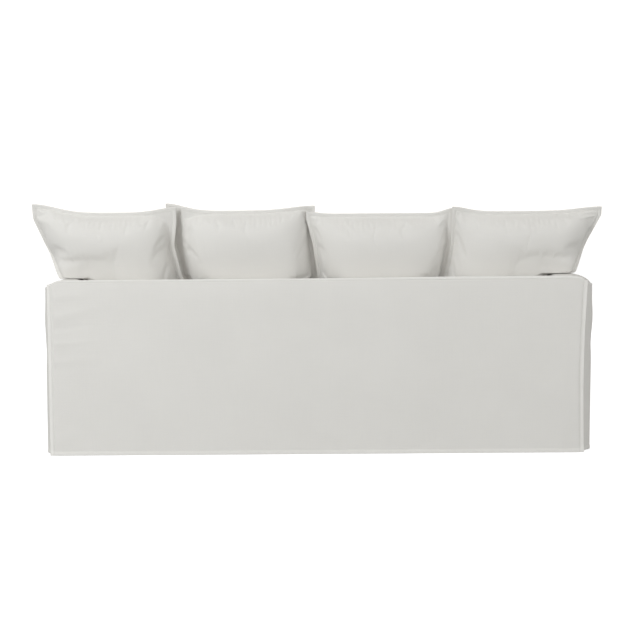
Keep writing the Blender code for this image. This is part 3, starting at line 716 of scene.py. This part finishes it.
def cushion_shape(row):
    """Points of the back and the front of a cushion, (2, rows, columns, 3), and how far in from the seams they
    are, as a share across and up; what is beyond the seams is the flange."""
    lean = math.tan(BACK_SLOPE)
    foot_y = inside_back(SEAT_HEIGHT) + (CUSHION_CROWN + 0.0011 + CUSHION_STAND) / math.cos(BACK_SLOPE)
    foot = float(seat((row["left"][0] + row["right"][0]) / 2, foot_y))
    top = row["middle"] + max(row["rise"])
    columns = stations(-2, (-1, 0.2), (-0.95, 0.010), (0.95, 0.0185), (1, 0.010), (2, 0.2))
    levels = stations(foot, (foot + CUSHION_FLANGE, 0.004), (BESIDE_ARM[1], 0.0125), (BESIDE_ARM[2], 0.005),
                      (top - CUSHION_FLANGE - 0.03, 0.0115), (top - CUSHION_FLANGE, 0.0035), (top, 0.003))
    u, level = np.meshgrid(columns, levels)
    height = top - foot - 2 * CUSHION_FLANGE
    up = (level - foot - CUSHION_FLANGE) / height
    # Across, the outer half of each side spreads to take up what lies over an arm
    left, left_z, calm_left = side_edge(row, 0, level)
    right, right_z, calm_right = side_edge(row, 1, level)
    half = (calm_right - calm_left) / 2 - CUSHION_FLANGE
    spill = np.where(u < 0, left - calm_left, right - calm_right)
    x = (calm_left + calm_right) / 2 + np.clip(u, -1, 1) * half + spill * smooth((np.abs(u) - 0.5) / 0.5)
    x = x + CUSHION_FLANGE * np.sign(u) * np.maximum(np.abs(u) - 1, 0)
    # The top edge rises to the ears, the sides lean and are pushed forward, and an arm lifts what lies over it
    near = [np.exp(-((d / ear) ** 2)) for d, ear in zip((x - left, right - x), row["ear"])]
    high = smooth((level - HEIGHT) / (top - HEIGHT))
    sag = max(row["rise"]) - np.maximum(row["rise"][0] * near[0], row["rise"][1] * near[1])
    beside = smooth((level - foot) / 0.15)
    close = [np.exp(-((d / PUSHED_WITHIN) ** 2)) for d in (x - left, right - x)]
    leans = sum(near[k] * row["set_back"][k] * high + close[k] * row["behind"][k] * beside for k in (0, 1))
    low = 1 - smooth((level - foot) / 0.10)
    lift = seat(x, foot_y) - foot + 0.0011 + CUSHION_STAND + FLANGE_HALF * math.sin(BACK_SLOPE)
    raised = mix(level, np.where(u < 0, left_z, right_z), smooth((np.abs(u) - 0.3) / 0.4))
    lying = 1 - smooth((level - BESIDE_ARM[2]) / 0.10)
    z = raised - sag * high + low * lift - row["lap"][1] * lying * smooth((np.abs(x) - 1.0) / 0.04)
    y = foot_y - (level - SEAT_HEIGHT) * lean + leans
    filling = filled(row, u, up, level)
    laid_over = lying * smooth((level - 0.60) / 0.06) * smooth((np.abs(x) - 0.84) / 0.05)
    y = y - row["lap"][0] * laid_over * (1 - filling)
    # The seam pinches the two layers together, and gathers them in places along the top
    across_in = np.where(np.abs(u) < 1, (1 - np.abs(u)) * half, (1 - np.abs(u)) * CUSHION_FLANGE)
    from_seam = np.minimum(across_in, np.minimum(up, 1 - up) * height)
    thick = FLANGE_HALF - seam_pinch(from_seam) + (CUSHION_CROWN - FLANGE_HALF) * filling
    thick = thick + gathered(row, x, (1 - up) * height)
    # The two faces lie along the inside back's slope, and upright where the cushion is over an arm
    over = smooth((np.abs(x) - INNER_ARM + 0.09) / 0.06) * smooth((level - 0.60) / 0.08)
    over = over * (1 - smooth((level - BESIDE_ARM[2]) / 0.12))
    normal = mix(np.array([0, -math.cos(BACK_SLOPE), -math.sin(BACK_SLOPE)]), np.array([0, -1, 0]), over[..., None])
    normal /= np.linalg.norm(normal, axis=2, keepdims=True)
    middle = np.stack([x, y, z], -1)
    return np.stack([middle + normal * thick[..., None], middle - normal * thick[..., None]]), u, up, filling


def cushion(row):
    """A cushion in its cover. Its seams are noted for the stitches, and marked as held while it is filled."""
    (rear, front), u, up, filling = cushion_shape(row)
    inside = np.minimum(np.minimum(1 - np.abs(u), up), 1 - up)
    flat = np.stack([u * 0.28, up * 0.5], -1)  # about half its width and its height, for the scale of the weave
    # The flange outside the seam is marked for the painted highlight, painted lighter for the light it catches
    piece = two_layers(row["name"] + "_cover", rear, front, flat, (inside < -0.002).astype(float))
    # Seams, empty corners and what rests on an arm are held; the rest is free to strain
    limp = (inside < 0.001) | (filling < 0.02)
    resting = smooth((np.abs(rear[..., 0]) - 0.76) / 0.10) * (1 - smooth((rear[..., 2] - 0.71) / 0.09))
    share = np.maximum(limp, resting).ravel()
    held = piece.vertex_groups.new(name="seam")
    for k, pinned in enumerate(np.concatenate([share, share])):
        held.add([k], float(pinned), "REPLACE")
    # The seam that joins the two panels, once round the body
    number = np.arange(u.size).reshape(u.shape)
    low, high = nearest(up[:, 0], 0), nearest(up[:, 0], 1)
    left, right = nearest(u[0], -1), nearest(u[0], 1)
    seam = np.concatenate([number[low, left:right], number[low:high, right], number[high, right:left:-1],
                           number[high:low:-1, left], number[low, left:left + 1]])
    cushion_stitching[piece.name] = [face.reshape(-1, 3)[seam] for face in (rear, front)]
    return piece


def fill_out(pieces, cap):
    """Blows the covers out against their seams, so that the cloth strains and gathers, and keeps the result."""
    before = {}
    for piece in pieces:
        before[piece.name] = np.array([v.co for v in piece.data.vertices])
        cloth = piece.modifiers.new("filling", "CLOTH")
        cloth.settings.quality = 6
        cloth.settings.mass = 0.25
        cloth.settings.tension_stiffness = 25
        cloth.settings.compression_stiffness = 25
        cloth.settings.shear_stiffness = 8
        cloth.settings.bending_stiffness = 0.6
        cloth.settings.use_pressure = True
        cloth.settings.uniform_pressure_force = 4
        cloth.settings.shrink_min = -0.02
        cloth.settings.vertex_group_mass = "seam"
        cloth.settings.effector_weights.gravity = 0
        cloth.collision_settings.use_collision = False
    for moment in range(1, 21):
        bpy.context.scene.frame_set(moment)
    settled = bpy.context.evaluated_depsgraph_get()
    for piece in pieces:
        after = piece.evaluated_get(settled).to_mesh()
        moved = np.array([v.co for v in after.vertices]) - before[piece.name]
        length = np.linalg.norm(moved, axis=1, keepdims=True)
        moved *= cap * np.tanh(length / cap) / np.maximum(length, 1e-9)
        piece.modifiers.clear()
        piece.data.vertices.foreach_set("co", (before[piece.name] + moved).ravel())
        piece.data.update()
    bpy.context.scene.frame_set(1)


cushions = [cushion(row) for row in CUSHIONS]
fill_out(cushions, cap=0.012)
for piece, row in zip(cushions, CUSHIONS):
    rounder = piece.modifiers.new("rounder", "SUBSURF")
    rounder.levels = rounder.render_levels = 1
    fit(piece, row["name"], cushion_canvas)


# Topstitching -----------------------------------------------------------------------------------------------
# Rows of strong undyed cotton thread hold the flanges and hems flat. Each stitch sits in the dimple it pulls into
# the canvas. The stitches are drawn half as long again and thicker than real ones, so that they show.

STITCH_PITCH = 0.0062
STITCH_LENGTH = 0.0046
THREAD_WIDTH = 0.0010


def thread_paint():
    material = bpy.data.materials.new("undyed_cotton_thread")
    material.use_nodes = True
    surface = material.node_tree.nodes["Principled BSDF"]
    surface.inputs["Base Color"].default_value = linear("#E3E1DB")
    surface.inputs["Roughness"].default_value = 0.7
    surface.inputs["Specular IOR Level"].default_value = 0.3
    return material


def stitcher(thread):
    """Geometry nodes that set a row of stitches along every line of a mesh."""
    tree = bpy.data.node_groups.new("topstitching", "GeometryNodeTree")
    tree.interface.new_socket("Geometry", in_out="OUTPUT", socket_type="NodeSocketGeometry")
    tree.interface.new_socket("Geometry", in_out="INPUT", socket_type="NodeSocketGeometry")
    for name in ("Pitch", "Length", "Width"):
        tree.interface.new_socket(name, in_out="INPUT", socket_type="NodeSocketFloat")
    given = tree.nodes.new("NodeGroupInput").outputs
    line = add(tree, "GeometryNodeMeshToCurve", links={0: given["Geometry"]}).outputs[0]
    evenly = add(tree, "GeometryNodeResampleCurve", links={"Curve": line, "Length": given["Pitch"]}, mode="LENGTH")
    stitch = add(tree, "GeometryNodeMeshUVSphere", {"Segments": 4, "Rings": 3, "Radius": 0.5}).outputs["Mesh"]
    size = add(tree, "ShaderNodeCombineXYZ", links={0: given["Width"], 1: given["Width"], 2: given["Length"]})
    way = add(tree, "GeometryNodeInputTangent").outputs[0]
    turn = add(tree, "FunctionNodeAlignRotationToVector", links={"Vector": way}, axis="Z").outputs[0]
    row = add(tree, "GeometryNodeInstanceOnPoints", links={
        "Points": evenly.outputs[0], "Instance": stitch, "Rotation": turn, "Scale": size.outputs[0],
    }).outputs[0]
    solid = add(tree, "GeometryNodeRealizeInstances", links={0: row}).outputs[0]
    painted = add(tree, "GeometryNodeSetMaterial", {"Material": thread}, {"Geometry": solid}).outputs[0]
    add(tree, "NodeGroupOutput", links={0: painted})
    return tree


def stitch(name, lines, tree, slot):
    """Stitches along the lines, as one piece."""
    places = np.concatenate(lines)
    starts = np.cumsum([0] + [len(line) for line in lines])
    edges = [(k, k + 1) for a, b in zip(starts, starts[1:]) for k in range(a, b - 1)]
    mesh = bpy.data.meshes.new(name)
    mesh.from_pydata(places.tolist(), edges, [])
    piece = bpy.data.objects.new(name, mesh)
    bpy.context.scene.collection.objects.link(piece)
    sewing = piece.modifiers.new("sewing", "NODES")
    sewing.node_group = tree
    wanted = {"Pitch": STITCH_PITCH, "Length": STITCH_LENGTH, "Width": THREAD_WIDTH}
    for socket in tree.interface.items_tree:
        if socket.name in wanted:
            sewing[socket.identifier] = wanted[socket.name]
    sewn = bpy.data.meshes.new_from_object(piece.evaluated_get(bpy.context.evaluated_depsgraph_get()))
    piece.modifiers.clear()
    piece.data = sewn
    sewn.shade_smooth()
    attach(piece, "root")


thread = thread_paint()
sewing_tree = stitcher(thread)
stitch("cover_topstitching", cover_stitching, sewing_tree, "canvas")
settled = bpy.context.evaluated_depsgraph_get()
laid = []
for piece in cushions:
    surface = piece.evaluated_get(settled)
    for seam in cushion_stitching[piece.name]:
        laid.append(np.array([surface.closest_point_on_mesh(Vector(place))[1] for place in seam]))
stitch("cushion_topstitching", laid, sewing_tree, "cushion_canvas")


# Studio -----------------------------------------------------------------------------------------------------
# A white cove under soft light: the key light high on the left behind the camera, and weaker ones behind it, on
# its right and beyond the sofa. The floor and the air around it are lit to plain white where the camera looks at
# them, and give the cloth a calmer light.

FLOOR_GLOW = 0.85
COVE_LIGHT, COVE_GLOW = 0.52, 0.65  # what lights the cloth, and what is added where the camera looks

bpy.ops.mesh.primitive_plane_add(size=80, location=(0, 0, -0.0005))
floor = bpy.context.object
floor.name = "studio_floor"
floor_paint = bpy.data.materials.new("matt_white_studio_floor")
floor_paint.use_nodes = True
tree = floor_paint.node_tree
surface = tree.nodes["Principled BSDF"]
surface.inputs["Base Color"].default_value = linear("#ADADAC")
surface.inputs["Roughness"].default_value = 0.95
surface.inputs["Specular IOR Level"].default_value = 0.1
surface.inputs["Emission Color"].default_value = (1, 1, 1, 1)
seen = add(tree, "ShaderNodeLightPath").outputs["Is Camera Ray"]
lit = add(tree, "ShaderNodeMath", {1: FLOOR_GLOW}, {0: seen}, operation="MULTIPLY").outputs[0]
tree.links.new(lit, surface.inputs["Emission Strength"])
floor.data.materials.append(floor_paint)

cove = bpy.data.worlds.new("white_cove")
cove.use_nodes = True
tree = cove.node_tree
seen = add(tree, "ShaderNodeLightPath").outputs["Is Camera Ray"]
lit = add(tree, "ShaderNodeMath", {1: COVE_GLOW, 2: COVE_LIGHT}, {0: seen}, operation="MULTIPLY_ADD").outputs[0]
tree.nodes["Background"].inputs["Color"].default_value = (1.0, 0.985, 0.955, 1.0)
tree.links.new(lit, tree.nodes["Background"].inputs["Strength"])
bpy.context.scene.world = cove

for name, place, aim, size, power in (
    ("key_softbox", (-4.4, -5.6, 2.9), (-0.2, -0.4, 0.6), 2.6, 226),
    ("fill_softbox", (1.0, -9.0, 1.8), (0, 0, 0.6), 4.0, 76),
    ("side_softbox", (6.0, -4.5, 1.6), (0.6, -0.2, 0.6), 3.0, 84),
    ("front_softbox", (1.5, 7.0, 2.4), (0, 0, 0.4), 3.0, 80),
):
    lamp = bpy.data.lights.new(name, "AREA")
    lamp.size = size
    lamp.energy = power
    lamp.color = (0.96, 0.985, 1.0)
    softbox = bpy.data.objects.new(name, lamp)
    softbox.location = place
    softbox.rotation_euler = (Vector(aim) - Vector(place)).to_track_quat("-Z", "Y").to_euler()
    bpy.context.scene.collection.objects.link(softbox)

lens = bpy.data.cameras.new("camera")
lens.sensor_width = 36
lens.lens = 86.268
camera = bpy.data.objects.new("camera", lens)
camera.location = (0.08085, -6.475, 0.91)
pan = Matrix.Rotation(0.01023, 4, "Z")
tilt = Matrix.Rotation(math.pi / 2 - 0.06348, 4, "X")
roll = Matrix.Rotation(-0.00849, 4, "Z")
camera.rotation_euler = (pan @ tilt @ roll).to_euler()
bpy.context.scene.collection.objects.link(camera)
bpy.context.scene.camera = camera
bpy.context.scene.view_settings.view_transform = "Standard"
